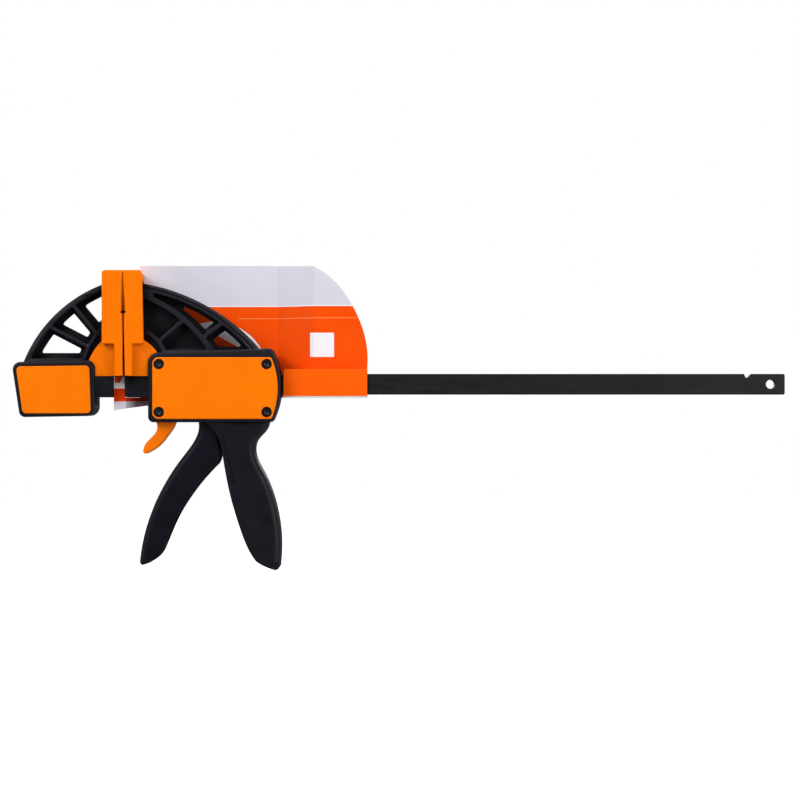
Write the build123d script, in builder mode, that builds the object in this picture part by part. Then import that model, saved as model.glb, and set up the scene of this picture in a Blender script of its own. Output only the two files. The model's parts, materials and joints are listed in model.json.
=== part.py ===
"""Quick release bar clamp, modelled closed, in millimetres.

+X runs along the bar from the fixed jaw to its free end, +Z runs up the jaws, and the grip hangs
towards -Z. The origin is on the bar's axis, in the plane where the two pads meet. Most pieces are
flat outlines in the XZ plane with a half width in Y, because the clamp is symmetric about Y = 0.
"""

from build123d import *
from math import atan2, cos, degrees, radians, sin, tan
import os

os.makedirs("parts", exist_ok=True)

# ---------------------------------------------------------------- driving dimensions
# Bar
bar_height = 13.5
bar_thickness = 5.0
bar_fixed_end = -58.0
bar_free_end = 428.0
bar_edge_round = 0.5
end_hole_radius = 2.95
end_hole_inset = 9.3
notch_inset = 24.2
notch_mouth = 4.5
notch_floor = 1.3
notch_depth = 2.4
bar_fit = 0.05  # gap around the bar in the fixed jaw
bar_running_gap = 0.2  # gap around the bar in the sliding jaw
roll_pin_bore = 1.9
notch_pin_radius = 1.7
notch_pin_z = 6.9

# Half widths in Y
block_half = 12.5
arch_half = 11.0
core_half = 8.6
pad_half = 16.0
cover_floor_half = 10.8
cover_face_half = 12.8
inset_face_half = 12.6
pin_half_length = 10.6
grip_half = 11.5
handle_half = 8.2
handle_inner_half = 5.6
grip_slot_half = 8.6
plate_half = 5.3
trigger_half = 6.0
open_web_half = 3.0
blind_web_half = 3.4

# Jaws and pads
pad_top = 73.4
pad_bottom = 5.3
pad_thickness = 13.7
pad_face_thickness = 5.5
hood_bottom = 26.0
pad_groove_reach = 1.0  # how far the groove's cutter stands proud of the pad's face
jaw_end_top = 67.0  # top of the pocket that takes the jaw's end
seat_top = 31.5  # top of the thinner part of each jaw's end, between the pad's ears
fixed_ear_centre = (13.6, 0.5)
fixed_ear_radius = 38.9
fixed_ring_centre = (20.4, 2.8)  # ring of the fixed jaw, round the ears
fixed_ring_inner = 47.2
fixed_ring_outer = 49.0
slide_ear_centre = (0, 6.3)
slide_ear_radius = 25.8
slide_ring_centre = (0, 9.5)
slide_ring_inner = 27.7
slide_ring_outer = 29.9
slide_pad_depth = 12.6  # depth of the sliding pad's hood
hood_slant = 3.0  # the hood is this much shallower at the back of the jaw than at its front
hood_trim = 0.1  # taken off the hood at its front
cutter_reach = 5.0  # how far a cutter runs past what it cuts
toe_in = 1.2  # lean of the sliding pad, degrees
groove_z = 46.4
groove_depth = 1.9
groove_half = 1.4  # half height of the groove at the pad's face
collar_bottom = -8.5
fixed_collar = (-21.7, -7.6)  # from X to X
slide_collar_left = 0.4
rib = 3.2
spoke = 1.9
piece_gap = 0.15  # gap between a pad's ear and what it ends at

# Housing
housing_left = 15.8
housing_bottom = -24.6
housing_top_left = 20.4
housing_right = 101.2
housing_right_top = (95.4, 23.1)
cover_left = 18.6
cover_right = 95.4
cover_bulge = 99.5
cover_top = 17.4
cover_bottom = -22.5
cavity_left = 20.9
cavity_right = 94.6
cavity_top = 16.2
cavity_bottom = -21.0
partition_left = 42.0
partition_thickness = 3.0
brake_seat_left = 26.0  # block over the brake plate, with a notch for the plate's round top
brake_seat_right = 37.0
brake_seat_bottom = 11.0
brake_notch_width = 4.0
brake_notch_top = 14.3
trigger_slot_left = 19.4
trigger_slot_right = 38.6
screw_places = [(22.9, 13.0), (92.3, 13.0), (22.9, -17.9), (92.3, -17.9)]
screw_boss_radius = 3.9
screw_head_radius = 3.35
screw_head_height = 1.8
screw_socket_radius = 1.7
screw_shank_radius = 1.75
nut_across_flats = 6.4

# Squeeze handle and drive plates
handle_pivot = (57.0, 13.0)
pivot_boss_radius = 3.0
handle_pin_radius = 1.75
drive_nose = (53.25, -10.7)  # cross bar of the handle, which pushes the drive plates
drive_nose_radius = 2.2
drive_plate_count = 3
drive_plates_left = 55.65
drive_plate_thickness = 2.58
drive_plate_pitch = 2.6
drive_plate_top = 9.4
drive_plate_bottom = -13.5
spring_seat_left = drive_plates_left + drive_plate_count * drive_plate_pitch
spring_seat_thickness = 1.2
spring_seat_radius = 9.3
drive_spring_radius = 8.2
drive_wire = 0.6
drive_spring_turns = 9

# Brake and trigger; heights along the plate are measured from its pivot
brake_pivot = (32.0, 12.5)
brake_tilt = 5.0  # lean of the resting brake plate, degrees
brake_plate_thickness = 3.0
brake_plate_shoulder = -32.6
brake_plate_bottom = -39.6
brake_tongue_half = 4.0
trigger_top = -21.3
brake_spring_left = 31.9
brake_spring_z = -11.0
brake_spring_radius = 2.6
brake_wire = 0.35
brake_spring_turns = 6

# Retail card
card_thickness = 0.8
card_left = 6.9
card_top = 78.2
card_bottom = -12.0
card_back_y = 17.2
card_near_y = 3.5
card_front_y = -3.6
card_crease_z = 9.8
card_step = 97.0  # the panel is deeper to the left of this, behind the housing
card_sleeve_left = 102.6
card_sleeve_right = 157.0
card_sleeve_bottom = -8.75
card_tongue_left = -7.3
card_tongue_right = 0.25
card_tongue_top = 5.0
card_tongue_bottom = -16.8
card_strip_top = -8.6


# ---------------------------------------------------------------- helpers
def write(piece, label):
    """Labels a finished piece and writes its STEP file."""
    piece.part.label = label
    export_step(piece.part, f"parts/{label}.step")


def both_sides(part, half):
    """Edges of a part that lie wholly in the two planes Y = half and Y = -half."""
    edges = part.edges()
    front = edges.filter_by_position(Axis.Y, -half, -half)
    return front + edges.filter_by_position(Axis.Y, half, half)


def spoke_place(outer, inner):
    """Location in the XZ plane midway between two points, turned along the line that joins them."""
    middle = ((outer[0] + inner[0]) / 2, (outer[1] + inner[1]) / 2)
    return Location(middle, degrees(atan2(outer[1] - inner[1], outer[0] - inner[0])))


def across(*places):
    """Locations at points of the XZ plane whose cylinders run along Y."""
    return Locations([Plane.XZ * Location(place) for place in places])


def shrunk(sketch, amount):
    """Outline of a sketch, moved inwards by an amount, or outwards by a negative one."""
    return offset(sketch, amount=-amount, mode=Mode.PRIVATE)


# ---------------------------------------------------------------- bar
bar_length = bar_free_end - bar_fixed_end
bar_middle = (bar_free_end + bar_fixed_end) / 2
free_hole_x = bar_free_end - end_hole_inset
fixed_hole_x = bar_fixed_end + end_hole_inset
free_notch_x = bar_free_end - notch_inset
fixed_notch_x = bar_fixed_end + notch_inset

with BuildPart() as bar:
    with BuildSketch(Plane.XZ):
        with Locations((bar_middle, 0)):
            RectangleRounded(bar_length, bar_height, 1.2)
        for notch_x, outward in ((free_notch_x, 1), (fixed_notch_x, -1)):
            steep_x = notch_x - outward * notch_mouth / 2
            with BuildLine():
                Polyline(
                    (steep_x, bar_height / 2 + 1),
                    (steep_x, bar_height / 2),
                    (steep_x + outward * 0.9, bar_height / 2 - notch_depth),
                    (steep_x + outward * (0.9 + notch_floor), bar_height / 2 - notch_depth),
                    (steep_x + outward * notch_mouth, bar_height / 2),
                    (steep_x + outward * notch_mouth, bar_height / 2 + 1),
                    close=True,
                )
            make_face(mode=Mode.SUBTRACT)
        with Locations((free_hole_x, 0), (fixed_hole_x, 0)):
            Circle(end_hole_radius, mode=Mode.SUBTRACT)
    extrude(amount=bar_thickness / 2, both=True)
    long_edges = bar.edges().filter_by(Axis.X).filter_by(lambda e: e.length > bar_length / 2)
    fillet(long_edges, bar_edge_round)
write(bar, "bar")

# ---------------------------------------------------------------- fixed jaw frame
arch_centre = (17.7, -18.4)
arch_radius = 88.4
arch_rim = 2.95
jaw_end_wall = pad_face_thickness + 0.05  # the jaw's end starts behind the pad's face wall
post = 2.6  # wall behind a jaw's end, beside the windows
block_outline = [(-72.2, 14.3), (-66.8, -21.3), (-18.8, -20.5), (-18.4, 15.4)]
block_corners = (5.0, 4.0, 6.0, 5.0)  # radii, in the order of the outline's points
inset_outline = [(-69.4, 11.6), (-65.0, -19.0), (-20.7, -18.9), (-21.8, 12.2)]
inset_gap = 0.1
fixed_window_floor = 16.5
fixed_opening_floor = 20.3
rim_flange = 2.8  # widths of the flange round each opening, at the rim, the ring and the spokes
ring_flange = 3.9
spoke_flange_below = 2.7
spoke_flange_above = 3.8
spoke_length = 42.0  # long enough to reach into the rim and the ring
spoke_ends = [((-46.5, 36.5), (-24.3, 25.0)), ((-31.9, 50.0), (-17.6, 33.0))]

with BuildSketch(Plane.XZ) as block_shape:
    with BuildLine():
        Polyline(*block_outline, close=True)
    make_face()
    for corner, radius in zip(block_outline, block_corners):
        fillet(block_shape.vertices().sort_by_distance(corner)[0], radius)

with BuildSketch(Plane.XZ) as inset_shape:
    with BuildLine():
        Polyline(*inset_outline, close=True)
    make_face()
    fillet(inset_shape.vertices(), 2.8)

with BuildSketch(Plane.XZ) as arch_shape:
    with Locations(arch_centre):
        Circle(arch_radius)
    with Locations((-jaw_end_wall, 12.0)):
        Rectangle(80, 60, align=(Align.MAX, Align.MIN), mode=Mode.INTERSECT)

with BuildSketch(Plane.XZ) as ear_seat:
    with Locations(fixed_ring_centre):
        Circle(fixed_ring_inner)
    with Locations((-jaw_end_wall, pad_bottom)):
        Rectangle(30, seat_top - pad_bottom, align=(Align.MAX, Align.MIN), mode=Mode.INTERSECT)


def arch_spaces(floor, at_rim=0.0, at_ring=0.0, below=0.0, above=0.0):
    """Outline of the spaces in the fixed arch, narrowed by margins at its rim, ring and spokes."""
    with BuildSketch(Plane.XZ) as outline:
        with Locations(arch_centre):
            Circle(arch_radius - arch_rim - at_rim)
        with Locations((-jaw_end_wall - post, floor)):
            Rectangle(60, 60, align=(Align.MAX, Align.MIN), mode=Mode.INTERSECT)
        with Locations(fixed_ring_centre):
            Circle(fixed_ring_outer + at_ring, mode=Mode.SUBTRACT)
        for outer, inner in spoke_ends:
            with Locations(spoke_place(outer, inner) * Location((0, (below - above) / 2))):
                Rectangle(spoke_length, spoke + below + above, mode=Mode.SUBTRACT)
        fillet(outline.vertices(), 1.2)
    return outline


arch_windows = arch_spaces(fixed_window_floor)
arch_openings = arch_spaces(
    fixed_opening_floor, rim_flange, ring_flange, spoke_flange_below, spoke_flange_above
)

with BuildPart() as fixed_jaw_frame:
    extrude(block_shape.sketch, amount=block_half, both=True)
    fillet(both_sides(fixed_jaw_frame, block_half), 1.4)
    for side in (1, -1):
        with BuildSketch(Plane.XZ.offset(side * block_half)):
            add(inset_shape.sketch)
        extrude(amount=-side * (block_half - cover_floor_half), mode=Mode.SUBTRACT)
    with BuildSketch(Plane.XZ):
        add(arch_shape.sketch)
        add(arch_windows.sketch, mode=Mode.SUBTRACT)
        add(ear_seat.sketch, mode=Mode.SUBTRACT)
    extrude(amount=arch_half, both=True)
    with BuildSketch(Plane.XZ):
        add(arch_windows.sketch)
        add(arch_openings.sketch, mode=Mode.SUBTRACT)
    extrude(amount=open_web_half, both=True)
    with BuildSketch(Plane.XZ):
        add(ear_seat.sketch)
    extrude(amount=core_half, both=True)
    with BuildSketch(Plane.XZ):
        with Locations((fixed_collar[0], collar_bottom)):
            Rectangle(fixed_collar[1] - fixed_collar[0], pad_bottom - collar_bottom, align=Align.MIN)
    extrude(amount=core_half, both=True)
    with Locations((bar_fixed_end - bar_fit, 0, 0)):
        Box(
            70,
            bar_thickness + 2 * bar_fit,
            bar_height + 2 * bar_fit,
            align=(Align.MIN, Align.CENTER, Align.CENTER),
            mode=Mode.SUBTRACT,
        )
    with across((fixed_notch_x, notch_pin_z)):
        Cylinder(notch_pin_radius, 2 * cover_floor_half + 2, mode=Mode.SUBTRACT)
    with across((fixed_hole_x, 0)):
        Cylinder(end_hole_radius, 2 * cover_floor_half + 2, mode=Mode.SUBTRACT)
write(fixed_jaw_frame, "fixed_jaw_frame")


# ---------------------------------------------------------------- fixed jaw insets and pins
def fixed_jaw_inset(side):
    """Side plate of the fixed jaw; side is 1 for the front and -1 for the rear."""
    with BuildPart() as inset:
        with BuildSketch(Plane.XZ.offset(side * cover_floor_half)):
            add(shrunk(inset_shape.sketch, inset_gap))
        extrude(amount=side * (inset_face_half - cover_floor_half))
        outer = inset.edges().filter_by_position(Axis.Y, -side * inset_face_half, -side * inset_face_half)
        fillet(outer, 0.5)
    return inset


fixed_jaw_inset_front = fixed_jaw_inset(1)
write(fixed_jaw_inset_front, "fixed_jaw_inset_front")
fixed_jaw_inset_rear = fixed_jaw_inset(-1)
write(fixed_jaw_inset_rear, "fixed_jaw_inset_rear")

with BuildPart() as bar_roll_pin:
    with BuildSketch(Plane.XZ):
        with Locations((fixed_hole_x, 0)):
            Circle(end_hole_radius - 0.02)
            Circle(roll_pin_bore, mode=Mode.SUBTRACT)
        with Locations((fixed_hole_x, 0)):
            Rectangle(4, 0.7, align=(Align.MIN, Align.CENTER), mode=Mode.SUBTRACT)
    extrude(amount=pin_half_length, both=True)
write(bar_roll_pin, "bar_roll_pin")

with BuildPart() as bar_notch_pin:
    with across((fixed_notch_x, notch_pin_z)):
        Cylinder(notch_pin_radius - 0.02, 2 * pin_half_length)
    chamfer(bar_notch_pin.edges().filter_by(GeomType.CIRCLE), 0.4)
write(bar_notch_pin, "bar_notch_pin")


# ---------------------------------------------------------------- pads
def jaw_pad(lean, seat_x, depth, ear_centre, ear_radius, obstacle):
    """Pad on the fixed jaw's side of X = 0: a hood over the jaw's end, a face strip and two ears.

    lean is the toe-in of its face in degrees, seat_x how far behind X = 0 the jaw's end wall starts
    and depth the hood's depth. The ears end in an arc and short of the obstacle, an outline in XZ.
    """

    def face_x(z):
        return -tan(radians(lean)) * (pad_top - z)

    with BuildPart() as pad:
        with BuildSketch(Plane.XZ) as profile:
            with BuildLine():
                Polyline(
                    (face_x(pad_top), pad_top),
                    (face_x(pad_top) - depth, pad_top),
                    (face_x(hood_bottom) - depth, hood_bottom),
                    (-seat_x, hood_bottom),
                    (-seat_x, pad_bottom),
                    (face_x(pad_bottom), pad_bottom),
                    close=True,
                )
            make_face()
            fillet(profile.vertices().group_by(Axis.Y)[-1].sort_by(Axis.X)[-1], 0.7)
        extrude(amount=pad_half, both=True)
        with BuildSketch(Plane.XY.offset(pad_top)):
            with BuildLine():
                Polyline(
                    (-depth + hood_trim, -pad_half),
                    (-depth + hood_slant, pad_half),
                    (-depth - cutter_reach, pad_half),
                    (-depth - cutter_reach, -pad_half),
                    close=True,
                )
            make_face()
        lean_down = (-tan(radians(lean)), 0, -1)
        extrude(amount=pad_top - hood_bottom + cutter_reach, dir=lean_down, mode=Mode.SUBTRACT)
        fillet(pad.edges().group_by(Axis.Z)[-1].sort_by(Axis.X)[0], 2.2)
        fillet(both_sides(pad, pad_half), 1.0)
        ears_top = seat_top - piece_gap
        with BuildSketch(Plane.XZ):
            with Locations(ear_centre):
                Circle(ear_radius)
            with Locations((-seat_x + 1, pad_bottom)):
                Rectangle(30, ears_top - pad_bottom, align=(Align.MAX, Align.MIN), mode=Mode.INTERSECT)
            add(obstacle, mode=Mode.SUBTRACT)
        extrude(amount=arch_half - 0.1, both=True)
        with BuildSketch(Plane.XZ):
            with Locations((-seat_x, pad_bottom - 1)):
                Rectangle(40, ears_top + 1 - (pad_bottom - 1), align=(Align.MAX, Align.MIN))
        extrude(amount=core_half + 0.05, both=True, mode=Mode.SUBTRACT)
        with Locations((-seat_x, 0, ears_top)):
            Box(
                depth - seat_x + 2.0,
                2 * arch_half + 0.1,
                jaw_end_top - ears_top,
                align=(Align.MAX, Align.CENTER, Align.MIN),
                mode=Mode.SUBTRACT,
            )
        with Locations((4, 0, pad_bottom - 1)):
            Box(
                60,
                bar_thickness + 0.8,
                bar_height / 2 + 0.4 - pad_bottom + 1,
                align=(Align.MAX, Align.CENTER, Align.MIN),
                mode=Mode.SUBTRACT,
            )
        groove_x = face_x(groove_z)
        mouth_half = groove_half * (1 + pad_groove_reach / groove_depth)
        with BuildSketch(Plane.XZ):
            with BuildLine():
                Polyline(
                    (groove_x + pad_groove_reach, groove_z - mouth_half),
                    (groove_x - groove_depth, groove_z),
                    (groove_x + pad_groove_reach, groove_z + mouth_half),
                    close=True,
                )
            make_face()
        extrude(amount=pad_half, both=True, mode=Mode.SUBTRACT)
    return pad


with BuildSketch(Plane.XZ) as block_limit:
    add(shrunk(block_shape.sketch, -piece_gap))

fixed_pad = jaw_pad(
    0, pad_face_thickness, pad_thickness, fixed_ear_centre, fixed_ear_radius, block_limit.sketch
)
write(fixed_pad, "fixed_pad")

# ---------------------------------------------------------------- sliding jaw: outlines
slide_arch_centre = (-6.8, -55.4)
slide_arch_radius = 121.8
slide_rim = 4.4
inner_rib_centre = (-18.2, -25.8)
inner_rib_radius = 88.5
slide_seat = pad_face_thickness + 0.7
window_floor = 22.1
rim_groove = (119.2, 120.0)  # radii of the fine groove along the rim
rim_groove_depth = 0.7
outer_windows_left = 19.0
outer_openings_left = 37.5
outer_openings_floor = 24.5
outer_spoke_ends = ((63.5, 39.4), (53.2, 31.7))
inner_spoke_ends = ((37.7, 40.7), (23.6, 28.5))
window_bosses = [(28.6, 43.1), (31.1, 28.2)]
window_boss_radius = 1.3
window_boss_height = 0.6

with BuildSketch(Plane.XZ) as housing_shape:
    with BuildLine():
        Polyline(
            (housing_right_top[0], housing_bottom),
            (housing_left, housing_bottom),
            (housing_left, housing_top_left - 0.25),
            housing_right_top,
        )
        ThreePointArc(housing_right_top, (housing_right, -0.5), (housing_right_top[0], housing_bottom))
    make_face()
    left = housing_shape.vertices().group_by(Axis.X)[0].sort_by(Axis.Y)
    fillet(left[-1], 7.0)
    left = housing_shape.vertices().group_by(Axis.X)[0].sort_by(Axis.Y)
    fillet(left[0], 3.6)
    fillet(housing_shape.vertices().sort_by_distance((housing_right_top[0], housing_bottom))[0], 2.6)
    fillet(housing_shape.vertices().sort_by_distance(housing_right_top)[0], 3.0)

with BuildSketch(Plane.XZ) as cover_shape:
    with BuildLine():
        Polyline(
            (cover_right, cover_bottom),
            (cover_left, cover_bottom),
            (cover_left, cover_top),
            (cover_right, cover_top),
        )
        ThreePointArc((cover_right, cover_top), (cover_bulge, -1.5), (cover_right, cover_bottom))
    make_face()
    fillet(cover_shape.vertices().group_by(Axis.X)[0], 4.0)
    fillet(cover_shape.vertices().sort_by_distance((cover_right, cover_bottom))[0], 2.2)
    fillet(cover_shape.vertices().sort_by_distance((cover_right, cover_top))[0], 2.2)

with BuildSketch(Plane.XZ) as cavity_shape:
    with Locations((cavity_left, cavity_bottom)):
        Rectangle(cavity_right - cavity_left, cavity_top - cavity_bottom, align=Align.MIN)
    with Locations(*screw_places):
        Circle(screw_boss_radius, mode=Mode.SUBTRACT)

with BuildSketch(Plane.XZ) as slide_arch_shape:
    with Locations(slide_arch_centre):
        Circle(slide_arch_radius)
    with Locations((slide_seat, 15.0)):
        Rectangle(95, 60, align=Align.MIN, mode=Mode.INTERSECT)

with BuildSketch(Plane.XZ) as rim_groove_shape:
    with Locations(slide_arch_centre):
        Circle(rim_groove[1])
        Circle(rim_groove[0], mode=Mode.SUBTRACT)
    add(slide_arch_shape.sketch, mode=Mode.INTERSECT)

with BuildSketch(Plane.XZ) as slide_ear_seat:
    with Locations(slide_ring_centre):
        Circle(slide_ring_inner)
    with Locations((slide_seat, pad_bottom)):
        Rectangle(30, seat_top - pad_bottom, align=Align.MIN, mode=Mode.INTERSECT)


def between_rims(left, floor, at_rim=0.0, at_rib=0.0, at_spoke=0.0):
    """Outline of the spaces between the arch's rim and its inner rib, narrowed by margins."""
    with BuildSketch(Plane.XZ) as outline:
        with Locations(slide_arch_centre):
            Circle(slide_arch_radius - slide_rim - at_rim)
        with Locations((left, floor)):
            Rectangle(80, 60, align=Align.MIN, mode=Mode.INTERSECT)
        with Locations(inner_rib_centre):
            Circle(inner_rib_radius + rib / 2 + at_rib, mode=Mode.SUBTRACT)
        with Locations(spoke_place(*outer_spoke_ends)):
            Rectangle(24, spoke + 0.3 + 2 * at_spoke, mode=Mode.SUBTRACT)
        fillet(outline.vertices(), 0.9)
    return outline


outer_windows = between_rims(outer_windows_left, window_floor)
outer_openings = between_rims(outer_openings_left, outer_openings_floor, 2.4, 2.6, 3.0)

with BuildSketch(Plane.XZ) as inner_windows:
    with Locations(inner_rib_centre):
        Circle(inner_rib_radius - rib / 2)
    with Locations((slide_seat + post + 2.5, window_floor)):
        Rectangle(80, 60, align=Align.MIN, mode=Mode.INTERSECT)
    with Locations(slide_ring_centre):
        Circle(slide_ring_outer, mode=Mode.SUBTRACT)
    with Locations(spoke_place(*inner_spoke_ends)):
        Rectangle(30, spoke, mode=Mode.SUBTRACT)
    fillet(inner_windows.vertices(), 1.4)

grip_front = [
    (51.0, -23.5),
    (55.6, -27.2),
    (59.2, -31.6),
    (62.1, -38.3),
    (63.9, -47.2),
    (68.1, -69.3),
    (75.7, -95.2),
    (80.6, -107.1),
    (85.0, -114.0),
]
grip_back = [
    (100.5, -117.2),
    (101.1, -97.5),
    (95.8, -70.8),
    (90.1, -57.3),
    (86.0, -49.4),
    (84.4, -42.0),
    (86.0, -36.1),
    (90.7, -30.8),
    (92.8, -27.2),
    (93.3, -23.5),
]

with BuildSketch(Plane.XZ) as grip_shape:
    with BuildLine():
        front = Spline(*grip_front)
        back = Spline(*grip_back)
        Line(back @ 1, front @ 0)
        heel = Spline(
            front @ 1,
            (90.3, -117.2),
            (96.9, -119.7),
            tangents=((1, -0.75), (1, -0.3)),
            tangent_scalars=(0.6, 0.6),
        )
        ThreePointArc(heel @ 1, (99.6, -119.2), back @ 0)
    make_face()

# The grip's side is lower above and in front of this line, round the top of its panel.
panel_line = [(68.2, -48.0), (66.0, -42.6), (65.0, -35.6), (65.6, -30.0), (69.2, -26.2)]
panel_step = 0.5

with BuildSketch(Plane.XZ) as grip_shoulder_shape:
    with BuildLine():
        rim_curve = Spline((71.2, -64.0), (70.3, -58.7), *panel_line, tangents=((-0.15, 1), (1, 0.3)))
        Polyline(
            rim_curve @ 1,
            (88.5, -26.2),
            (96.0, -24.0),
            (96.0, -20.0),
            (40.0, -20.0),
            (60.0, -64.0),
            rim_curve @ 0,
        )
    make_face()

# The slot that the handle swings into; its rear follows the handle's rear edge when it is squeezed.
grip_slot_rear = [
    (70.8, -20.5),
    (74.6, -27.5),
    (80.6, -38.0),
    (82.6, -44.5),
    (82.0, -50.5),
    (79.2, -58.5),
    (75.2, -68.0),
    (71.2, -79.0),
    (66.0, -84.0),
]

with BuildSketch(Plane.XZ) as grip_slot_shape:
    with BuildLine():
        Polyline((47.1, -20.5), *grip_slot_rear, (40.0, -84.0), (40.0, -30.0), (47.1, -28.0), close=True)
    make_face()
    fillet(grip_slot_shape.vertices().sort_by(Axis.X)[-6:], 2.0)

# ---------------------------------------------------------------- sliding jaw frame
with BuildPart() as slide_jaw_frame:
    extrude(grip_shape.sketch, amount=grip_half, both=True)
    back_edges = both_sides(slide_jaw_frame, grip_half).filter_by(lambda e: (e @ 0.5).X > 88)
    fillet(back_edges.filter_by(lambda e: -110 < (e @ 0.5).Z < -24), 4.6)
    front_edges = both_sides(slide_jaw_frame, grip_half).filter_by(lambda e: (e @ 0.5).X < 80)
    fillet(front_edges.filter_by(lambda e: (e @ 0.5).Z < -24), 1.4)
    for side in (1, -1):
        with BuildSketch(Plane.XZ.offset(side * grip_half)):
            add(grip_shoulder_shape.sketch)
        extrude(amount=-side * panel_step, mode=Mode.SUBTRACT)
    extrude(housing_shape.sketch, amount=block_half, both=True)
    fillet(both_sides(slide_jaw_frame, block_half), 1.4)
    with BuildSketch(Plane.XZ):
        add(slide_arch_shape.sketch)
        for hollow in (outer_windows, inner_windows, slide_ear_seat):
            add(hollow.sketch, mode=Mode.SUBTRACT)
    extrude(amount=arch_half, both=True)
    for side in (1, -1):
        with BuildSketch(Plane.XZ.offset(side * arch_half)):
            add(rim_groove_shape.sketch)
        extrude(amount=-side * rim_groove_depth, mode=Mode.SUBTRACT)
    with BuildSketch(Plane.XZ):
        add(outer_windows.sketch)
        add(outer_openings.sketch, mode=Mode.SUBTRACT)
    extrude(amount=open_web_half, both=True)
    extrude(inner_windows.sketch, amount=blind_web_half, both=True)
    with across(*window_bosses):
        Cylinder(window_boss_radius, 2 * (blind_web_half + window_boss_height))
    with BuildSketch(Plane.XZ):
        add(slide_ear_seat.sketch)
        with Locations((housing_left + 1, cavity_top + 1)):
            Rectangle(40, 40, align=(Align.MIN, Align.MAX), mode=Mode.SUBTRACT)
    extrude(amount=core_half, both=True)
    with BuildSketch(Plane.XZ) as collar_shape:
        with Locations((slide_collar_left, collar_bottom)):
            Rectangle(housing_left + 1 - slide_collar_left, pad_bottom - collar_bottom, align=Align.MIN)
        fillet(collar_shape.vertices().sort_by_distance((slide_collar_left, collar_bottom))[0], 1.8)
    extrude(amount=core_half, both=True)
    for side in (1, -1):
        with BuildSketch(Plane.XZ.offset(side * block_half)):
            add(shrunk(cover_shape.sketch, -0.05))
        extrude(amount=-side * (block_half - cover_floor_half), mode=Mode.SUBTRACT)
    # The housing is hollow between its two covers, but for the screw bosses and the walls inside.
    with BuildSketch(Plane.XZ):
        add(cavity_shape.sketch)
    extrude(amount=block_half, both=True, mode=Mode.SUBTRACT)
    with BuildSketch(Plane.XZ):
        with Locations((partition_left, cavity_bottom - 0.5)):
            Rectangle(partition_thickness, cavity_top - cavity_bottom + 1, align=Align.MIN)
        seat_height = cavity_top - brake_seat_bottom + 0.5
        with Locations((brake_seat_left, brake_seat_bottom)):
            Rectangle(brake_seat_right - brake_seat_left, seat_height, align=Align.MIN)
        with Locations((brake_pivot[0], brake_notch_top)):
            Rectangle(brake_notch_width, 6, align=(Align.CENTER, Align.MAX), mode=Mode.SUBTRACT)
    extrude(amount=cover_floor_half, both=True)
    with BuildSketch(Plane.XZ):
        with Locations(handle_pivot):
            Circle(pivot_boss_radius)
            Rectangle(
                2 * pivot_boss_radius, cavity_top - handle_pivot[1] + 0.5, align=(Align.CENTER, Align.MIN)
            )
    extrude(amount=plate_half, both=True)
    with BuildSketch(Plane.XZ):
        add(grip_slot_shape.sketch)
    extrude(amount=grip_slot_half, both=True, mode=Mode.SUBTRACT)
    with BuildSketch(Plane.XZ):
        with Locations((trigger_slot_left, cavity_bottom)):
            Rectangle(trigger_slot_right - trigger_slot_left, 5, align=(Align.MIN, Align.MAX))
    extrude(amount=trigger_half + 0.6, both=True, mode=Mode.SUBTRACT)
    with Locations((0, 0, 0)):
        Box(
            housing_right + 1,
            bar_thickness + 2 * bar_running_gap,
            bar_height + 2 * bar_running_gap,
            align=(Align.MIN, Align.CENTER, Align.CENTER),
            mode=Mode.SUBTRACT,
        )
    with across(handle_pivot):
        Cylinder(handle_pin_radius, 2 * plate_half + 2, mode=Mode.SUBTRACT)
    with across(*screw_places):
        Cylinder(screw_shank_radius + 0.1, 2 * block_half, mode=Mode.SUBTRACT)
write(slide_jaw_frame, "slide_jaw_frame")


# ---------------------------------------------------------------- housing covers and their screws
def housing_cover(side):
    """Cover plate of the housing; side is 1 for the front and -1 for the rear."""
    with BuildPart() as cover:
        with BuildSketch(Plane.XZ.offset(side * cover_floor_half)):
            add(cover_shape.sketch)
        extrude(amount=side * (cover_face_half - cover_floor_half))
        outer = cover.edges().filter_by_position(Axis.Y, -side * cover_face_half, -side * cover_face_half)
        fillet(outer, 0.7)
        with BuildSketch(Plane.XZ.offset(side * cover_floor_half)):
            with Locations(*screw_places):
                if side > 0:
                    Circle(screw_head_radius + 0.1)
                else:
                    RegularPolygon(nut_across_flats / 2 + 0.1, 6, major_radius=False)
        extrude(amount=side * 5, mode=Mode.SUBTRACT)
    return cover


housing_cover_front = housing_cover(1)
write(housing_cover_front, "housing_cover_front")
housing_cover_rear = housing_cover(-1)
write(housing_cover_rear, "housing_cover_rear")

with BuildPart() as cover_screws:
    with BuildSketch(Plane.XZ.offset(cover_floor_half + 0.02)):
        with Locations(*screw_places):
            Circle(screw_head_radius)
    extrude(amount=screw_head_height)
    rims = cover_screws.edges().filter_by_position(Axis.Y, -cover_face_half, -block_half)
    fillet(rims, 0.5)
    with BuildSketch(Plane.XZ.offset(cover_floor_half + 0.02)):
        with Locations(*screw_places):
            Circle(screw_shank_radius)
    extrude(amount=-2 * cover_floor_half - screw_head_height + 0.3)
    with BuildSketch(Plane.XZ.offset(cover_floor_half + screw_head_height)):
        with Locations(*screw_places):
            RegularPolygon(screw_socket_radius, 6)
    extrude(amount=-1.1, mode=Mode.SUBTRACT)
write(cover_screws, "cover_screws")

with BuildPart() as cover_nuts:
    with BuildSketch(Plane.XZ.offset(-cover_floor_half - 0.02)):
        with Locations(*screw_places):
            RegularPolygon(nut_across_flats / 2, 6, major_radius=False)
            Circle(screw_shank_radius + 0.02, mode=Mode.SUBTRACT)
    extrude(amount=-screw_head_height)
write(cover_nuts, "cover_nuts")

# ---------------------------------------------------------------- sliding pad
with BuildSketch(Plane.XZ) as ear_limit:
    add(shrunk(housing_shape.sketch, -piece_gap))
    mirror(about=Plane.YZ, mode=Mode.REPLACE)

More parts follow.
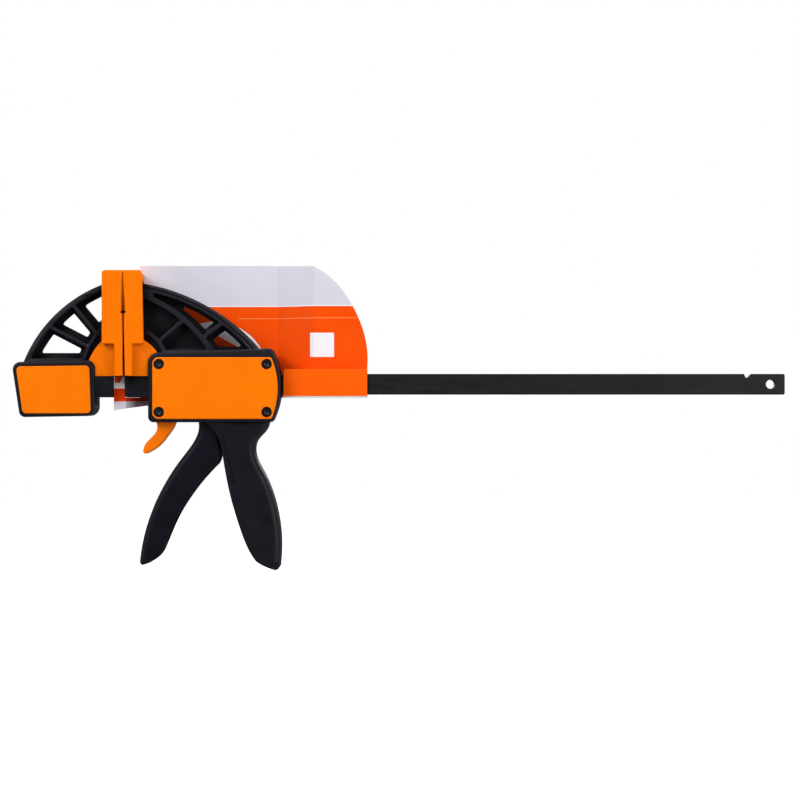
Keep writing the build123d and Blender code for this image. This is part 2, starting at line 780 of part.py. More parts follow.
with BuildPart() as slide_pad:
    pad_before_mirror = jaw_pad(
        toe_in, slide_seat - 0.05, slide_pad_depth, slide_ear_centre, slide_ear_radius, ear_limit.sketch
    )
    add(pad_before_mirror.part)
    mirror(about=Plane.YZ, mode=Mode.REPLACE)
write(slide_pad, "slide_pad")

# ---------------------------------------------------------------- squeeze handle
arm_bottom = -24.3
arm_left = 47.6
arm_right = 58.2

lever_front = [(47.4, -30.9), (44.8, -36.9), (35.9, -49.1), (29.5, -58.4), (15.8, -86.6), (9.6, -115.5)]
lever_rear = [(28.9, -97.7), (35.1, -84.3), (42.5, -72.4), (51.1, -61.3), (60.3, -51.6)]

with BuildSketch(Plane.XZ) as lever_shape:
    with BuildLine():
        front = Spline((arm_left, arm_bottom), *lever_front)
        tip = Line(front @ 1, (11.5, -116.9))
        toe = Spline(tip @ 1, (22.7, -110.7), (25.0, -107.3))
        rear = Spline(toe @ 1, *lever_rear)
        heel = ThreePointArc(rear @ 1, (61.8, -48.1), (61.3, -42.0))
        Polyline(heel @ 1, (58.4, -30.0), (arm_right, arm_bottom), (arm_left, arm_bottom))
    make_face()

with BuildSketch(Plane.XZ) as arm_shape:
    with BuildLine():
        boss_left = (handle_pivot[0] - pivot_boss_radius, handle_pivot[1])
        boss_top = (handle_pivot[0], handle_pivot[1] + pivot_boss_radius)
        boss_right = (handle_pivot[0] + pivot_boss_radius, handle_pivot[1])
        ThreePointArc(boss_left, boss_top, boss_right)
        Polyline(boss_right, (arm_right, arm_bottom), (arm_left, arm_bottom), (arm_left, -19.5), boss_left)
    make_face()

# The channel inside the handle: open to the rear, with a wall along the front curve.
with BuildSketch(Plane.XZ) as channel_shape:
    with BuildLine():
        inner = Spline(
            (50.6, -19.5),
            (50.6, -31.4),
            (47.7, -38.4),
            (32.9, -59.8),
            (19.2, -86.6),
            (15.0, -108.5),
            tangents=((0, -1), (-0.2, -1)),
        )
        Polyline(
            inner @ 1,
            (21.0, -108.0),
            (70.0, -60.0),
            (70.0, 22.0),
            (40.0, 22.0),
            (40.0, -19.5),
            inner @ 0,
        )
    make_face()

with BuildPart() as squeeze_handle:
    extrude(lever_shape.sketch, amount=handle_half, both=True)
    fillet(both_sides(squeeze_handle, handle_half).sort_by(SortBy.LENGTH)[-2:], 4.2)
    extrude(arm_shape.sketch, amount=handle_half, both=True)
    extrude(channel_shape.sketch, amount=handle_inner_half, both=True, mode=Mode.SUBTRACT)
    with across(drive_nose):
        Cylinder(drive_nose_radius, 2 * handle_inner_half + 1)
    with across(handle_pivot):
        Cylinder(handle_pin_radius + 0.05, 2 * handle_half + 2, mode=Mode.SUBTRACT)
write(squeeze_handle, "squeeze_handle")

with BuildPart() as handle_pivot_pin:
    with across(handle_pivot):
        Cylinder(handle_pin_radius, 2 * (cover_floor_half - 0.3))
    chamfer(handle_pivot_pin.edges().filter_by(GeomType.CIRCLE), 0.3)
write(handle_pivot_pin, "handle_pivot_pin")

# ---------------------------------------------------------------- drive plates, their spring and its seat
for number in range(drive_plate_count):
    with BuildPart() as drive_plate:
        with BuildSketch(Plane.YZ.offset(drive_plates_left + number * drive_plate_pitch)) as plate_shape:
            with Locations((0, (drive_plate_top + drive_plate_bottom) / 2)):
                RectangleRounded(2 * plate_half, drive_plate_top - drive_plate_bottom, 1.5)
            Rectangle(bar_thickness + 0.5, bar_height + 0.8, mode=Mode.SUBTRACT)
        extrude(amount=drive_plate_thickness)
    write(drive_plate, f"drive_plate_{number + 1}")

with BuildPart() as drive_spring_seat:
    with BuildSketch(Plane.YZ.offset(spring_seat_left)):
        Circle(spring_seat_radius)
        Rectangle(bar_thickness + 0.5, bar_height + 0.8, mode=Mode.SUBTRACT)
    extrude(amount=spring_seat_thickness)
write(drive_spring_seat, "drive_spring_seat")


def compression_spring(start, end, height, radius, wire, turns):
    """Helical spring along X from start to end, round the line Y = 0, Z = height."""
    with BuildPart() as spring:
        with BuildLine() as path:
            Helix(
                pitch=(end - start - 2 * wire) / turns,
                height=end - start - 2 * wire,
                radius=radius,
                center=(start + wire, 0, height),
                direction=(1, 0, 0),
            )
        with BuildSketch(Plane(origin=path.line @ 0, z_dir=path.line % 0)) as section:
            Circle(wire)
        sweep(sections=section.sketch, path=path.line)
    return spring


drive_spring = compression_spring(
    spring_seat_left + spring_seat_thickness + 0.05,
    cavity_right - 0.05,
    0.0,
    drive_spring_radius,
    drive_wire,
    drive_spring_turns,
)
write(drive_spring, "drive_spring")

# ---------------------------------------------------------------- brake plate, trigger and spring
brake_plane = Plane(
    origin=(brake_pivot[0], 0, brake_pivot[1]),
    x_dir=(0, 1, 0),
    z_dir=(cos(radians(brake_tilt)), 0, -sin(radians(brake_tilt))),
)

with BuildPart() as brake_plate:
    with BuildSketch(brake_plane.offset(-brake_plate_thickness / 2)):
        Rectangle(2 * plate_half, -brake_plate_shoulder, align=(Align.CENTER, Align.MAX))
        with Locations((0, brake_plate_shoulder + 1)):
            tongue_length = brake_plate_shoulder + 1 - brake_plate_bottom
            Rectangle(2 * brake_tongue_half, tongue_length, align=(Align.CENTER, Align.MAX))
        with Locations((0, -brake_pivot[1] / cos(radians(brake_tilt)))):
            Rectangle(bar_thickness + 0.4, bar_height + 1.2, mode=Mode.SUBTRACT)
    extrude(amount=brake_plate_thickness)
    with across(brake_pivot):
        Cylinder(brake_plate_thickness / 2, 2 * plate_half)
write(brake_plate, "brake_plate")

trigger_front = [(20.5, -25.1), (20.4, -30.3), (17.7, -33.9), (12.8, -39.6), (12.0, -42.6)]
trigger_rear = [(18.7, -42.4), (24.0, -37.9), (27.6, -33.2), (31.2, -28.1), (32.6, -24.6)]
trigger_slot_gap = 0.03  # gap round the brake plate's tongue in the trigger

with BuildPart() as release_trigger:
    with BuildSketch(Plane.XZ) as trigger_shape:
        with BuildLine():
            leading = Spline(*trigger_front)
            hook = ThreePointArc(leading @ 1, (12.6, -44.7), (14.1, -44.8))
            trailing = Spline(hook @ 1, *trigger_rear)
            Polyline(trailing @ 1, (32.8, trigger_top), (20.5, trigger_top), leading @ 0)
        make_face()
    extrude(amount=trigger_half, both=True)
    trigger_edges = both_sides(release_trigger, trigger_half).filter_by(GeomType.BSPLINE)
    fillet(trigger_edges, 1.2)
    with BuildSketch(brake_plane.offset(-brake_plate_thickness / 2 - trigger_slot_gap)):
        with Locations((0, brake_plate_shoulder)):
            slot_width = 2 * (brake_tongue_half + trigger_slot_gap)
            slot_depth = brake_plate_shoulder - brake_plate_bottom + trigger_slot_gap
            Rectangle(slot_width, slot_depth, align=(Align.CENTER, Align.MAX))
    extrude(amount=brake_plate_thickness + 2 * trigger_slot_gap, mode=Mode.SUBTRACT)
write(release_trigger, "release_trigger")

brake_spring = compression_spring(
    brake_spring_left, partition_left - 0.05, brake_spring_z, brake_spring_radius, brake_wire, brake_spring_turns
)
write(brake_spring, "brake_spring")

# ---------------------------------------------------------------- retail card
card_shoulder = [(121.3, card_top - 1), (132.1, 70.6), (147.8, 50.4), (156.1, 27.5), (156.8, card_crease_z)]

with BuildSketch(Plane.XZ) as card_outline:
    with BuildLine():
        shoulder = Spline(*card_shoulder)
        Polyline(
            shoulder @ 1,
            (card_sleeve_right, card_crease_z),
            (card_sleeve_right, card_sleeve_bottom),
            (card_step, card_sleeve_bottom),
            (card_step, card_bottom),
            (22.0, card_bottom),
            (14.8, -13.6),
            (card_tongue_left, card_tongue_bottom),
            (card_tongue_left, card_tongue_top),
            (card_tongue_right, card_tongue_top),
            (card_tongue_right, card_strip_top),
            (card_left, card_strip_top),
            (card_left, card_top),
            (92.0, card_top),
            shoulder @ 0,
        )
    make_face()

with BuildPart() as retail_card:
    with BuildSketch(Plane.XY.offset(card_bottom)):
        with BuildLine() as panel_fold:
            Polyline(
                (card_left, card_back_y),
                (98.0, card_back_y),
                (122.0, card_near_y),
                (card_sleeve_right + 3, card_near_y),
            )
        trace(panel_fold.line, line_width=card_thickness)
    extrude(amount=card_top - card_bottom)
    with BuildSketch(Plane.XY.offset(card_tongue_bottom)):
        with BuildLine() as strip_fold:
            Polyline(
                (card_tongue_left, card_front_y),
                (card_tongue_right, card_front_y),
                (14.5, 14.5),
                (18.0, card_back_y),
                (26.0, card_back_y),
            )
        trace(strip_fold.line, line_width=card_thickness)
    extrude(amount=card_strip_top - card_tongue_bottom)
    with Locations((card_tongue_left, card_front_y, card_tongue_bottom)):
        Box(
            card_tongue_right - card_tongue_left,
            card_thickness,
            card_tongue_top - card_tongue_bottom,
            align=(Align.MIN, Align.CENTER, Align.MIN),
        )
    extrude(card_outline.sketch, amount=40, both=True, mode=Mode.INTERSECT)
    with BuildSketch(Plane.YZ.offset(card_sleeve_left)):
        with Locations(((card_near_y + card_front_y) / 2, (card_crease_z + card_sleeve_bottom) / 2)):
            sleeve_width = card_near_y - card_front_y
            sleeve_height = card_crease_z - card_sleeve_bottom
            Rectangle(sleeve_width + card_thickness, sleeve_height)
            Rectangle(sleeve_width - card_thickness, sleeve_height - 2 * card_thickness, mode=Mode.SUBTRACT)
    extrude(amount=card_sleeve_right - card_sleeve_left)
write(retail_card, "retail_card")
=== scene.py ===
"""Looks of the quick release bar clamp: camera, light, materials and the pieces that stand for CAD nodes."""

import json
from math import radians

import bmesh
import bpy
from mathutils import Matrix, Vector

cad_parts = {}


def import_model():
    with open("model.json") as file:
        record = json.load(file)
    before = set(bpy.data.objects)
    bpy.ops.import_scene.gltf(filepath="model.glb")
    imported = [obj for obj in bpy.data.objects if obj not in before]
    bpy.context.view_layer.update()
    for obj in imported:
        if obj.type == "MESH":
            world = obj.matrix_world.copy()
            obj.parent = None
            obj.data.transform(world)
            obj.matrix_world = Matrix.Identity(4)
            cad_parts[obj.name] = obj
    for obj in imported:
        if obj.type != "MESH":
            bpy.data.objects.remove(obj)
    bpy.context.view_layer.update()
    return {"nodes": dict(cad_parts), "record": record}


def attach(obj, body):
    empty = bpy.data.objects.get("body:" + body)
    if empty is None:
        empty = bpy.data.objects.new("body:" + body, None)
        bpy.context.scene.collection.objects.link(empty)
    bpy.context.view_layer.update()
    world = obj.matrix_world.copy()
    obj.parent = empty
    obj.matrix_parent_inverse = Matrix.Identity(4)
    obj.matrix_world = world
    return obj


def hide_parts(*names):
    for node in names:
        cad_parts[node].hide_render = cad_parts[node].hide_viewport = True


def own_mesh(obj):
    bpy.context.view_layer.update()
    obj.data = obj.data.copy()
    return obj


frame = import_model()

scene = bpy.context.scene
MM = 0.001

# ---------------------------------------------------------------- camera, light and floor
CAMERA_PLACE = (0.1782, -1.250, -0.0102)
LENS = 86.5
SENSOR = 36.0
CLIP_START = 0.05
CLIP_END = 20
WHITE_LIGHT = (1, 1, 1, 1)
WORLD_TINT = (0.98, 0.98, 1.0, 1)
WORLD_AROUND = 0.95  # strength of the world's light from above, below and the ends
WORLD_AHEAD = 0.10  # and from straight in front of and behind the clamp
FLOOR_Z = -0.30
FLOOR_HALF = 4.0
FLOOR_COLOUR = (0.9, 0.9, 0.9, 1)
FLOOR_ROUGHNESS = 0.9
FLOOR_GLOW = 0.75

# Each light's place and target, its width and height, all in metres, and its power in watts.
LIGHTS = {
    "key": ((-0.85, -0.95, 0.85), (0.1, 0, 0), 0.8, 0.8, 14.5),
    "fill": ((1.15, -0.95, 0.15), (0.1, 0, 0), 0.8, 0.9, 9.5),
    "top": ((0.15, -0.1, 1.1), (0.15, 0, 0), 1.0, 0.5, 7.0),
    "back": ((0.2, 1.2, 0.5), (0.15, 0, 0), 1.0, 0.8, 9.0),
}


def make_camera():
    """Level camera that looks along +Y."""
    camera = bpy.data.cameras.new("camera")
    camera.lens = LENS
    camera.sensor_width = SENSOR
    camera.clip_start = CLIP_START
    camera.clip_end = CLIP_END
    holder = bpy.data.objects.new("camera", camera)
    holder.location = CAMERA_PLACE
    holder.rotation_euler = (radians(90), 0, 0)
    scene.collection.objects.link(holder)
    scene.camera = holder


def area_light(name, place, target, width, height, power):
    """Soft rectangular light at place, turned towards target."""
    light = bpy.data.lights.new(name, "AREA")
    light.shape = "RECTANGLE"
    light.size = width
    light.size_y = height
    light.energy = power
    holder = bpy.data.objects.new(name, light)
    holder.location = place
    direction = Vector(target) - Vector(place)
    holder.rotation_euler = direction.to_track_quat("-Z", "Y").to_euler()
    scene.collection.objects.link(holder)


def make_world():
    """White where the camera looks; the light that it gives comes from above, below and the ends."""
    world = bpy.data.worlds.new("studio")
    scene.world = world
    world.use_nodes = True
    nodes = world.node_tree.nodes
    links = world.node_tree.links
    nodes.clear()
    seen = nodes.new("ShaderNodeBackground")
    seen.inputs["Strength"].default_value = 1.0
    seen.inputs["Color"].default_value = WHITE_LIGHT
    ambient = nodes.new("ShaderNodeBackground")
    ambient.inputs["Color"].default_value = WORLD_TINT
    direction = nodes.new("ShaderNodeTexCoord")
    split = nodes.new("ShaderNodeSeparateXYZ")
    facing = nodes.new("ShaderNodeMath")
    facing.operation = "ABSOLUTE"
    glow = nodes.new("ShaderNodeMapRange")
    glow.inputs["To Min"].default_value = WORLD_AROUND
    glow.inputs["To Max"].default_value = WORLD_AHEAD
    links.new(direction.outputs["Generated"], split.inputs[0])
    links.new(split.outputs["Y"], facing.inputs[0])
    links.new(facing.outputs[0], glow.inputs["Value"])
    links.new(glow.outputs["Result"], ambient.inputs["Strength"])
    path = nodes.new("ShaderNodeLightPath")
    mix = nodes.new("ShaderNodeMixShader")
    output = nodes.new("ShaderNodeOutputWorld")
    links.new(path.outputs["Is Camera Ray"], mix.inputs["Fac"])
    links.new(ambient.outputs[0], mix.inputs[1])
    links.new(seen.outputs[0], mix.inputs[2])
    links.new(mix.outputs[0], output.inputs["Surface"])


def make_floor():
    """Pale plain floor far below the clamp."""
    mesh = bpy.data.meshes.new("floor")
    corners = [
        (-FLOOR_HALF, -FLOOR_HALF, FLOOR_Z),
        (FLOOR_HALF, -FLOOR_HALF, FLOOR_Z),
        (FLOOR_HALF, FLOOR_HALF, FLOOR_Z),
        (-FLOOR_HALF, FLOOR_HALF, FLOOR_Z),
    ]
    mesh.from_pydata(corners, [], [(0, 1, 2, 3)])
    floor = bpy.data.objects.new("floor", mesh)
    scene.collection.objects.link(floor)
    material = bpy.data.materials.new("floor_white")
    material.use_nodes = True
    shader = material.node_tree.nodes["Principled BSDF"]
    shader.inputs["Base Color"].default_value = FLOOR_COLOUR
    shader.inputs["Roughness"].default_value = FLOOR_ROUGHNESS
    shader.inputs["Specular IOR Level"].default_value = 0.0
    shader.inputs["Emission Color"].default_value = WHITE_LIGHT
    shader.inputs["Emission Strength"].default_value = FLOOR_GLOW
    mesh.materials.append(material)
    floor.visible_diffuse = False
    floor.visible_glossy = False


make_camera()
make_world()
for name, setting in LIGHTS.items():
    area_light(name, *setting)
make_floor()
scene.view_settings.view_transform = "Standard"
scene.view_settings.look = "None"

# ---------------------------------------------------------------- materials
NOISE_RANGE = (0.3, 0.7)  # most of a noise's values are between these
EDGE_RADIUS = 0.4 * MM  # rounding that every material gives to sharp edges
EDGE_SAMPLES = 6
HOLLOW_SAMPLES = 8

materials = {}  # each slot's material


def linear(red, green, blue):
    """Linear colour from 0-255 display values."""
    channels = []
    for value in (red, green, blue):
        share = value / 255
        channels.append(share / 12.92 if share <= 0.04045 else ((share + 0.055) / 1.055) ** 2.4)
    return (*channels, 1.0)


class Surface:
    """One slot's Principled material, with helpers for its textures."""

    def __init__(self, slot, roughness, specular=0.5, metallic=0.0):
        material = bpy.data.materials.new(slot)
        material.use_nodes = True
        materials[slot] = material
        self.nodes = material.node_tree.nodes
        self.links = material.node_tree.links
        self.shader = self.nodes["Principled BSDF"]
        self.shader.inputs["Roughness"].default_value = roughness
        self.shader.inputs["Metallic"].default_value = metallic
        self.shader.inputs["Specular IOR Level"].default_value = specular
        self.place = self.nodes.new("ShaderNodeTexCoord").outputs["Object"]

    def axes(self):
        """The three object coordinates, in metres."""
        split = self.nodes.new("ShaderNodeSeparateXYZ")
        self.links.new(self.place, split.inputs[0])
        return split.outputs["X"], split.outputs["Y"], split.outputs["Z"]

    def math(self, operation, first, second):
        """Math node of two operands, each a socket or a number."""
        node = self.nodes.new("ShaderNodeMath")
        node.operation = operation
        for socket, value in zip(node.inputs, (first, second)):
            if isinstance(value, (int, float)):
                socket.default_value = value
            else:
                self.links.new(value, socket)
        return node.outputs[0]

    def stretched(self, factors):
        """Coordinates scaled by a factor along each axis."""
        mapping = self.nodes.new("ShaderNodeMapping")
        mapping.inputs["Scale"].default_value = factors
        self.links.new(self.place, mapping.inputs["Vector"])
        return mapping.outputs["Vector"]

    def noise(self, size_mm, detail, vector=None):
        """Noise whose features are about size_mm across."""
        node = self.nodes.new("ShaderNodeTexNoise")
        node.inputs["Scale"].default_value = 1 / (size_mm * MM)
        node.inputs["Detail"].default_value = detail
        self.links.new(vector or self.place, node.inputs["Vector"])
        return node.outputs["Fac"]

    def tones(self, noise, dark, light):
        """Colours from dark to light over the range of a noise."""
        node = self.nodes.new("ShaderNodeValToRGB")
        for element, position, colour in zip(node.color_ramp.elements, NOISE_RANGE, (dark, light)):
            element.position = position
            element.color = colour
        self.links.new(noise, node.inputs["Fac"])
        return node.outputs["Color"]

    def mapped(self, socket, from_low, from_high, to_low=0.0, to_high=1.0):
        """Maps one range of values to another, and holds the ends beyond it."""
        node = self.nodes.new("ShaderNodeMapRange")
        node.inputs["From Min"].default_value = from_low
        node.inputs["From Max"].default_value = from_high
        node.inputs["To Min"].default_value = to_low
        node.inputs["To Max"].default_value = to_high
        self.links.new(socket, node.inputs["Value"])
        return node.outputs["Result"]

    def spread(self, noise, low, high):
        """Maps the range of a noise to the range from low to high."""
        return self.mapped(noise, *NOISE_RANGE, low, high)

    def mix(self, factor, first, second):
        """Colour mix; factor is a socket, and each colour a socket or a value."""
        node = self.nodes.new("ShaderNodeMix")
        node.data_type = "RGBA"
        self.links.new(factor, node.inputs["Factor"])
        colour_inputs = [socket for socket in node.inputs if socket.type == "RGBA"]
        for socket, colour in zip(colour_inputs, (first, second)):
            if isinstance(colour, tuple):
                socket.default_value = colour
            else:
                self.links.new(colour, socket)
        return [socket for socket in node.outputs if socket.type == "RGBA"][0]

    def openness(self, reach_mm, power):
        """1 on open faces, falling towards 0 in corners and hollows about reach_mm deep."""
        node = self.nodes.new("ShaderNodeAmbientOcclusion")
        node.samples = HOLLOW_SAMPLES
        node.inputs["Distance"].default_value = reach_mm * MM
        return self.math("POWER", node.outputs["AO"], power)

    def colour(self, socket):
        self.links.new(socket, self.shader.inputs["Base Color"])

    def roughness(self, socket):
        self.links.new(socket, self.shader.inputs["Roughness"])

    def bump(self, *layers):
        """Stacked bumps on rounded edges; each layer is a height socket and its depth in mm."""
        rounded = self.nodes.new("ShaderNodeBevel")
        rounded.samples = EDGE_SAMPLES
        rounded.inputs["Radius"].default_value = EDGE_RADIUS
        normal = rounded.outputs["Normal"]
        for height, depth_mm in layers:
            node = self.nodes.new("ShaderNodeBump")
            node.inputs["Strength"].default_value = 1.0
            node.inputs["Distance"].default_value = depth_mm * MM
            self.links.new(height, node.inputs["Height"])
            self.links.new(normal, node.inputs["Normal"])
            normal = node.outputs["Normal"]
        self.links.new(normal, self.shader.inputs["Normal"])


# Size and depth in mm of the grain of moulded parts.
BLACK_GRAIN = (0.45, 0.02)
GLOSSY_GRAIN = (0.6, 0.006)
PAD_GRAIN = (0.5, 0.01)

# Painted shade in the gaps and hollows of a part: its colour, its reach in mm, and how fast it fades out of
# them.
JAW_HOLLOW_SHADE = (linear(3, 2, 5), 12, 2.2)
PAD_GAP_SHADE = (linear(120, 40, 0), 2.5, 0.8)

# The jaws' upper parts are painted a lighter grey as painted light, rising between these heights:
ARCH_START = 8  # the jaws turn greyer between these heights, in mm
ARCH_FULL = 26


def moulded_plastic(slot, dark, light, roughness, specular, grain=BLACK_GRAIN, upper_painted_light=None, hollow_shade=None):
    """Moulded plastic with a fine grain and faint flow marks; it can be painted a lighter grey on its upper
    part as painted light, and darker in its gaps and hollows as painted shade.
    """
    surface = Surface(slot, roughness, specular)
    grain_size, grain_depth = grain
    base = surface.tones(surface.noise(size_mm=14, detail=3), dark, light)
    # Painted light: the upper part turns a lighter grey.
    if upper_painted_light:
        _, _, height = surface.axes()
        base = surface.mix(surface.mapped(height, ARCH_START * MM, ARCH_FULL * MM), base, upper_painted_light)
    # Painted shade: the colour fades into a dark shade colour in gaps and hollows.
    if hollow_shade:
        shade, reach, power = hollow_shade
        base = surface.mix(surface.openness(reach, power), shade, base)
    surface.colour(base)
    patches = surface.noise(size_mm=5, detail=4)
    surface.roughness(surface.spread(patches, roughness - 0.05, roughness + 0.06))
    fine = surface.noise(grain_size, detail=2)
    waves = surface.noise(size_mm=6, detail=2)
    surface.bump((fine, grain_depth), (waves, 0.03))


def black_steel(slot):
    """Blackened rolled bar: faint lines along X and a mottled oxide."""
    surface = Surface(slot, roughness=0.42, specular=0.2)
    streaks = surface.noise(size_mm=0.6, detail=3, vector=surface.stretched((0.02, 1, 1)))
    mottle = surface.noise(size_mm=9, detail=5)
    base = surface.tones(mottle, linear(22, 22, 24), linear(28, 28, 30))
    surface.colour(surface.mix(surface.spread(streaks, 0.0, 0.35), base, linear(38, 38, 40)))
    surface.roughness(surface.spread(streaks, 0.34, 0.52))
    pits = surface.noise(size_mm=1.2, detail=4)
    surface.bump((streaks, 0.01), (pits, 0.015))


def bare_steel(slot, tint, roughness):
    """Stamped or drawn steel with fine grinding lines and faint stains."""
    surface = Surface(slot, roughness, metallic=1.0)
    lines = surface.noise(size_mm=0.25, detail=2, vector=surface.stretched((1, 1, 0.05)))
    stains = surface.noise(size_mm=3, detail=4)
    stained = [0.8 * channel for channel in tint]
    surface.colour(surface.tones(stains, (*stained, 1.0), (*tint, 1.0)))
    surface.roughness(surface.spread(lines, roughness - 0.08, roughness + 0.12))
    surface.bump((lines, 0.006))


# Places in mm of the card's print, and of a painted highlight and a painted shade along two of its creases;
# a field or line is its left, right, bottom and top.
BAND_BOTTOM = 51.8
BAND_EDGE = 0.7  # height of the white edge under the grey band
LENS_CENTRE = (55.6, 5.5)
LENS_RADIUS = 35.9
LENS_CHORD = ((46.4, 38.5), (70.2, 25.4))
LABEL = (119.5, 135.2, 17.9, 33.7)
CREASE_HIGHLIGHT = (72, 157, 43.2, 43.6)
CREASE_SHADE = (12, 102.5, 9.4, 9.8)
SLEEVE_LEFT = 102.5
SLEEVE_TOP = 9.9
SLEEVE_EDGE = -7.7  # the sleeve's paper is bare below this
TONGUE_RIGHT = 14
TONGUE_BACK = 16  # the tongue's strip is in front of this Y, and the panel behind it
TONGUE_TOP = 14
STRIPE_BOTTOM = -11.1
STRIPE_TOP = -2.8
MARK_LEFT = -6.7
MARK_BOTTOM = 0.9
MARK_SLANT = ((-3.4, 0.9), (-1.5, 5.1))


def card_print(slot):
    """Coated card printed light grey over orange, with a blank label and a white lens; a painted highlight
    and a painted shade line mark two creases.
    """
    surface = Surface(slot, roughness=0.42, specular=0.1)
    x, y, z = surface.axes()
    ink = surface.noise(size_mm=22, detail=2)
    orange = surface.tones(ink, linear(246, 76, 1), linear(250, 84, 2))
    band = surface.tones(ink, linear(212, 211, 222), linear(218, 217, 227))
    white = linear(244, 243, 248)
    paper = linear(214, 210, 216)
    red = linear(232, 62, 8)

    def above(height):
        return surface.math("GREATER_THAN", z, height * MM)

    def below(height):
        return surface.math("LESS_THAN", z, height * MM)

    def right_of(place):
        return surface.math("GREATER_THAN", x, place * MM)

    def left_of(place):
        return surface.math("LESS_THAN", x, place * MM)

    def before(depth):
        return surface.math("LESS_THAN", y, depth * MM)

    def within(left, right, bottom, top):
        return right_of(left), left_of(right), above(bottom), below(top)

    def over_line(first, second):
        """1 above the line through two points, in mm."""
        slope = (second[1] - first[1]) / (second[0] - first[0])
        height = surface.math("SUBTRACT", z, surface.math("MULTIPLY", x, slope))
        return surface.math("GREATER_THAN", height, (first[1] - slope * first[0]) * MM)

    def in_circle(centre, radius):
        across = surface.math("SUBTRACT", x, centre[0] * MM)
        up = surface.math("SUBTRACT", z, centre[1] * MM)
        squares = [surface.math("MULTIPLY", part, part) for part in (across, up)]
        distance = surface.math("ADD", *squares)
        return surface.math("LESS_THAN", distance, (radius * MM) ** 2)

    tongue = surface.math("MULTIPLY", left_of(TONGUE_RIGHT), before(TONGUE_BACK))
    # Each layer covers the ones before it wherever all of its masks are 1.
    layers = [
        (band, above(BAND_BOTTOM)),
        (white, above(BAND_BOTTOM - BAND_EDGE), below(BAND_BOTTOM)),
        (white, in_circle(LENS_CENTRE, LENS_RADIUS), over_line(*LENS_CHORD)),
        (linear(255, 97, 2), right_of(SLEEVE_LEFT), below(SLEEVE_TOP)),
        (paper, right_of(SLEEVE_LEFT), below(SLEEVE_EDGE)),
        (white, *within(*LABEL)),
        # Painted highlight along the upper crease.
        (linear(255, 150, 84), *within(*CREASE_HIGHLIGHT)),
        # Painted shade along the crease above the sleeve.
        (linear(214, 60, 4), *within(*CREASE_SHADE)),
        (paper, tongue, below(TONGUE_TOP)),
        (red, tongue, above(STRIPE_BOTTOM), below(STRIPE_TOP)),
        (white, tongue, above(STRIPE_TOP), below(TONGUE_TOP)),
        (red, tongue, right_of(MARK_LEFT), above(MARK_BOTTOM), over_line(*MARK_SLANT)),
    ]
    printed = orange
    for colour, mask, *others in layers:
        for other in others:
            mask = surface.math("MULTIPLY", mask, other)
        printed = surface.mix(mask, printed, colour)
    surface.colour(printed)
    surface.roughness(surface.spread(surface.noise(size_mm=9, detail=3), 0.36, 0.5))
    fibres = surface.noise(size_mm=0.7, detail=3)
    waves = surface.noise(size_mm=30, detail=2)
    surface.bump((fibres, 0.006), (waves, 0.12))


moulded_plastic(
    "black_plastic",
    dark=linear(20, 19, 26),
    light=linear(26, 25, 33),
    roughness=0.42,
    specular=0.13,
    # painted light: lighter grey on the jaws' upper parts
    upper_painted_light=linear(36, 35, 42),
    # painted shade in the jaws' window recesses and gaps
    hollow_shade=JAW_HOLLOW_SHADE,
)
moulded_plastic(
    "handle_plastic",
    dark=linear(14, 15, 23),
    light=linear(19, 20, 29),
    roughness=0.45,
    specular=0.11,
)
moulded_plastic(
    "orange_plastic",
    dark=linear(251, 120, 2),
    light=linear(254, 126, 3),
    roughness=0.38,
    specular=0.08,
    grain=GLOSSY_GRAIN,
)
moulded_plastic(
    "pad_rubber",
    dark=linear(250, 117, 1),
    light=linear(253, 123, 2),
    roughness=0.5,
    specular=0.05,
    grain=PAD_GRAIN,
    # painted shade in the gaps around the pads
    hollow_shade=PAD_GAP_SHADE,
)
moulded_plastic(
    "trigger_plastic",
    dark=linear(251, 118, 2),
    light=linear(254, 124, 3),
    roughness=0.4,
    specular=0.09,
    grain=GLOSSY_GRAIN,
)
black_steel("bar_steel")
bare_steel("bright_steel", tint=(0.6, 0.6, 0.62), roughness=0.35)
bare_steel("hardened_steel", tint=(0.3, 0.3, 0.31), roughness=0.45)
bare_steel("spring_wire", tint=(0.45, 0.45, 0.47), roughness=0.3)
bare_steel("black_screw", tint=(0.05, 0.05, 0.055), roughness=0.28)
card_print("printed_card")

# ---------------------------------------------------------------- pieces
WELD_DISTANCE = 0.004 * MM
FLAT_ANGLE = radians(0.5)  # faces that meet at less than this become one
BEVEL_ANGLE = radians(28)  # edges that turn more than this are rounded
BEVEL_SEGMENTS = 2
FACE_AREA_WEIGHT = 50

# Rounding of each node's sharp edges in mm; 0 keeps them as they are.
EDGE_ROUNDING = {
    "fixed_jaw_frame": 0,
    "slide_jaw_frame": 0,
    "fixed_pad": 0,
    "slide_pad": 0,
    "fixed_jaw_inset_front": 0.15,
    "fixed_jaw_inset_rear": 0.15,
    "housing_cover_front": 0,
    "housing_cover_rear": 0,
    "squeeze_handle": 0,
    "release_trigger": 0,
    "bar": 0.2,
    "cover_screws": 0.1,
    "cover_nuts": 0.15,
    "drive_plate_1": 0.2,
    "drive_plate_2": 0.2,
    "drive_plate_3": 0.2,
    "drive_spring_seat": 0.15,
    "brake_plate": 0.2,
    "handle_pivot_pin": 0.1,
    "bar_roll_pin": 0.1,
    "bar_notch_pin": 0.1,
    "retail_card": 0.08,
}

# The springs, each with its node, the joint that squeezes it, the X in metres of the wall that it pushes
# from, and the share of its length that is left; each gets a piece with a mesh of its own, at full length.
SPRINGS = [
    ("drive_spring", "drive_slide", 0.0946, 0.74),
    ("brake_spring", "trigger_release", 0.042, 0.75),
]

slot_of = {row["node"]: row["material_slot"] for row in frame["record"]["subparts"]}
body_of = {node: body for body, nodes in frame["record"]["behaviour"]["bodies"].items() for node in nodes}


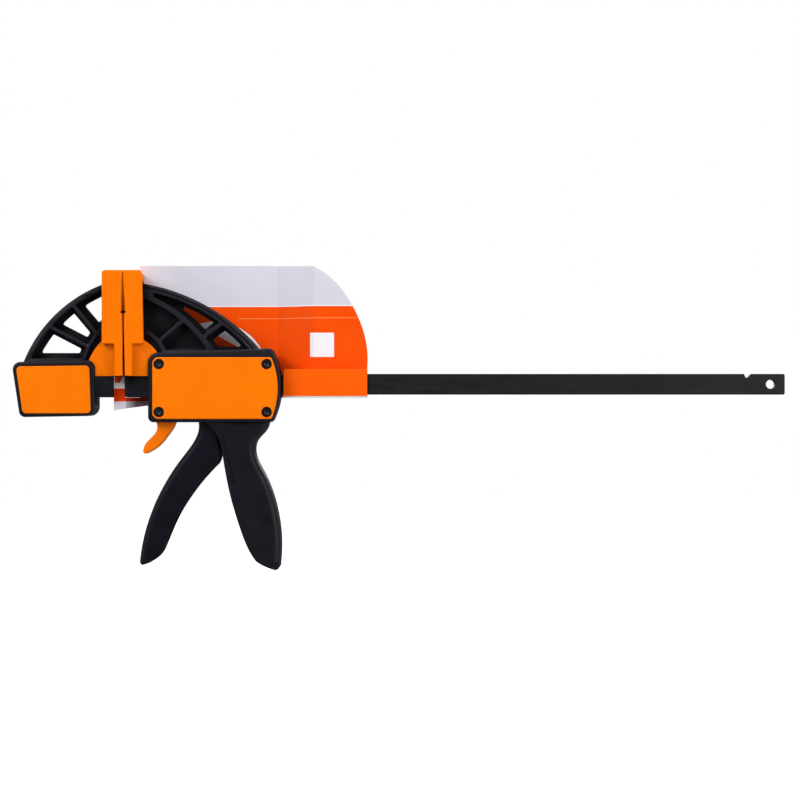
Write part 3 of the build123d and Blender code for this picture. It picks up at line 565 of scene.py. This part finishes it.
def softened_mesh(node, width_mm):
    """Copy of a CAD node's mesh with its flat faces joined, its sharp edges rounded and its faces smooth."""
    mesh = frame["nodes"][node].data.copy()
    work = bmesh.new()
    work.from_mesh(mesh)
    bmesh.ops.remove_doubles(work, verts=work.verts, dist=WELD_DISTANCE)
    bmesh.ops.dissolve_limit(
        work, angle_limit=FLAT_ANGLE, use_dissolve_boundaries=False, verts=work.verts, edges=work.edges
    )
    work.to_mesh(mesh)
    work.free()
    if "custom_normal" in mesh.attributes:
        mesh.attributes.remove(mesh.attributes["custom_normal"])
    carrier = bpy.data.objects.new("carrier", mesh)
    scene.collection.objects.link(carrier)
    if width_mm:
        bevel = carrier.modifiers.new("bevel", "BEVEL")
        bevel.width = width_mm * MM
        bevel.segments = BEVEL_SEGMENTS
        bevel.limit_method = "ANGLE"
        bevel.angle_limit = BEVEL_ANGLE
        bevel.use_clamp_overlap = False
        bevel.loop_slide = False
        bevel.miter_outer = "MITER_SHARP"
    for face in mesh.polygons:
        face.use_smooth = True
    weights = carrier.modifiers.new("weights", "WEIGHTED_NORMAL")
    weights.mode = "FACE_AREA"
    weights.weight = FACE_AREA_WEIGHT
    weights.keep_sharp = True
    graph = bpy.context.evaluated_depsgraph_get()
    result = bpy.data.meshes.new_from_object(carrier.evaluated_get(graph))
    bpy.data.objects.remove(carrier)
    return result


def add_piece(name, node, width_mm):
    """The piece that stands for a CAD node: it rides on the node's body and has its material."""
    slot = slot_of[node]
    mesh = softened_mesh(node, width_mm)
    mesh.materials.clear()
    mesh.materials.append(materials[slot])
    piece = bpy.data.objects.new(name, mesh)
    scene.collection.objects.link(piece)
    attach(piece, body_of[node])
    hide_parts(node)
    return piece


for node, solid in frame["nodes"].items():
    solid.data.materials.clear()
    solid.data.materials.append(materials[slot_of[node]])
for node, width in EDGE_ROUNDING.items():
    add_piece(f"{node}_shape", node, width)
for node, joint, wall, share_left in SPRINGS:
    coil = add_piece(f"{node}_coil", node, 0)
    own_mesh(coil)
